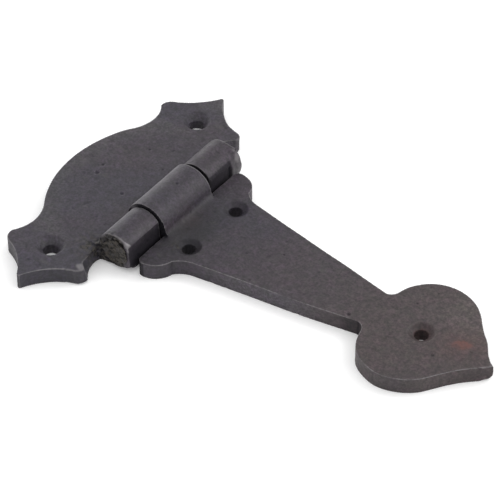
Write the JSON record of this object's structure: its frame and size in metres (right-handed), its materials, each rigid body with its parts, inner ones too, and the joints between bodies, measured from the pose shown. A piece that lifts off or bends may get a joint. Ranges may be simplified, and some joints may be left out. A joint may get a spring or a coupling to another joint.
{
  "type": "t hinge",
  "caption": "Blackened iron T hinge: a half-round cross leaf with fishtail ears, a tapered strap with a spade end, and a riveted pin that lets the strap fold over.",
  "frame": {"origin": "on the back plane, straight under the middle of the pin", "axes": "+X along the strap to the spade tip, +Y along the pin, +Z out of the face that the screws enter"},
  "size_m": [0.1525, 0.1, 0.0136],
  "materials": {
    "black_iron": "hammered and waxed black, satin, with worn edges and a little rust",
    "pin_steel": "rough peened ends, dulled and stained brown"
  },
  "bodies": {
    "frame_side": {"cross_leaf": "black_iron", "hinge_pin": "pin_steel"},
    "strap": {"strap_leaf": "black_iron"}
  },
  "joints": [
    {"name": "strap_swing", "type": "hinge", "parent": "frame_side", "child": "strap", "pos_m": [0, 0, 0.0063], "axis": [0, -1, 0], "range_deg": [0, 180]}
  ]
}
